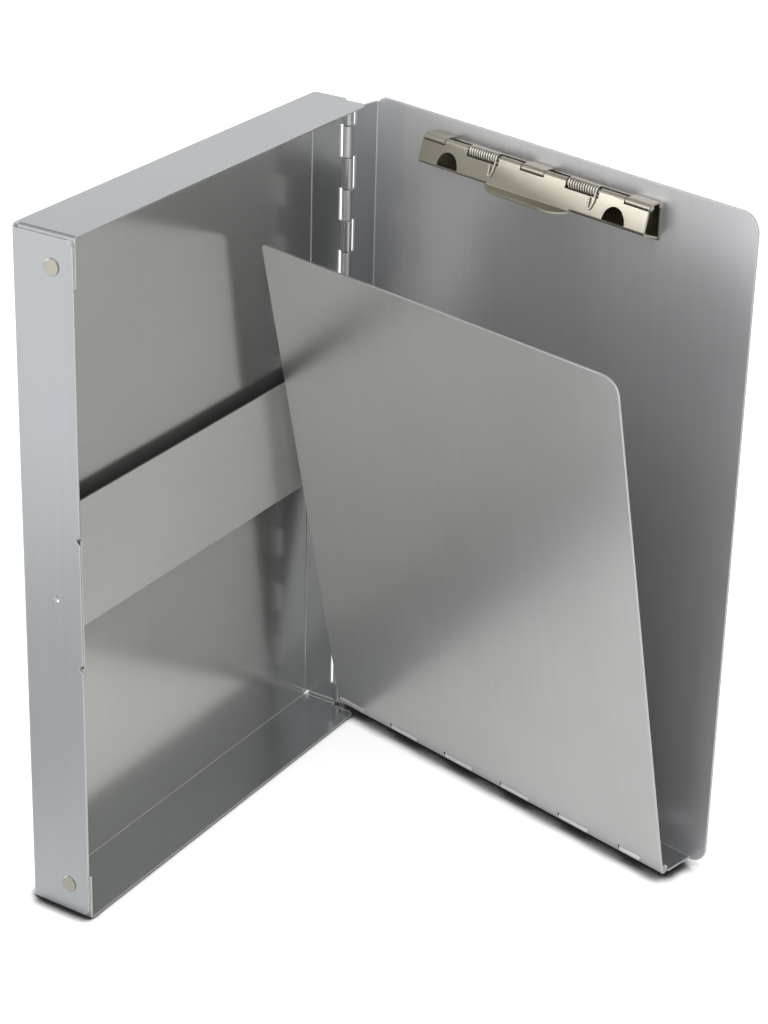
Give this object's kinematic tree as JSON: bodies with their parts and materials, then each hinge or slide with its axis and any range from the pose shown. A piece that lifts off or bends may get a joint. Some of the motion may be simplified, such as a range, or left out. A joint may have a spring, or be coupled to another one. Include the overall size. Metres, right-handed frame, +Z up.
{
  "type": "storage clipboard box",
  "caption": "Shallow folded sheet-metal form box with a hinged cover, a spring clip inside the cover and a hinged writing plate.",
  "frame": {"origin": "middle of the outer face of the tray's bottom end, which stands on the desk", "axes": "+Z up the tray's long side, +Y out of the tray's back, +X towards the tray's hinge side; the tray opens towards -Y"},
  "size_m": [0.2552, 0.2591, 0.347],
  "materials": {
    "satin_aluminium": "fine vertical grain, satin",
    "nickel_plated_steel": "warm nickel plate, bright",
    "spring_wire": "bright plated wire",
    "pin_steel": "drawn wire",
    "rivet_nickel": "satin nickel"
  },
  "bodies": {
    "tray": {"tray_shell": "satin_aluminium", "corner_rivets": "rivet_nickel", "retaining_strip": "satin_aluminium", "hinge_pin": "pin_steel"},
    "cover": {"cover_panel": "satin_aluminium", "plate_hinge_pin": "pin_steel", "clip_base": "nickel_plated_steel", "clip_pin": "nickel_plated_steel", "clip_rivets": "rivet_nickel", "clip_spring_left": "spring_wire", "clip_spring_right": "spring_wire"},
    "plate": {"writing_plate": "satin_aluminium"},
    "jaw": {"clip_jaw": "nickel_plated_steel"}
  },
  "joints": [
    {"name": "cover_hinge", "type": "hinge", "parent": "tray", "child": "cover", "pos_m": [0.1181, -0.0046, 0.1735], "axis": [0, 0, 1], "range_deg": [-77.6, 102.4]},
    {"name": "plate_hinge", "type": "hinge", "parent": "cover", "child": "plate", "pos_m": [0.11771, -0.00451, 0.0063], "axis": [-0.2147, -0.9767, 0], "range_deg": [-16.15, 21.31]},
    {"name": "jaw_hinge", "type": "hinge", "parent": "cover", "child": "jaw", "pos_m": [0.12982, -0.00718, 0.3351], "axis": [0.2147, 0.9767, 0], "range_deg": [0, 35], "stiffness_Nm_per_rad": 0.2, "springref_deg": -57.3, "deforming": ["clip_spring_left", "clip_spring_right"]}
  ],
  "couplings": [
    {"joint": "plate_hinge", "follows": "cover_hinge", "ratio": 0.2079}
  ]
}
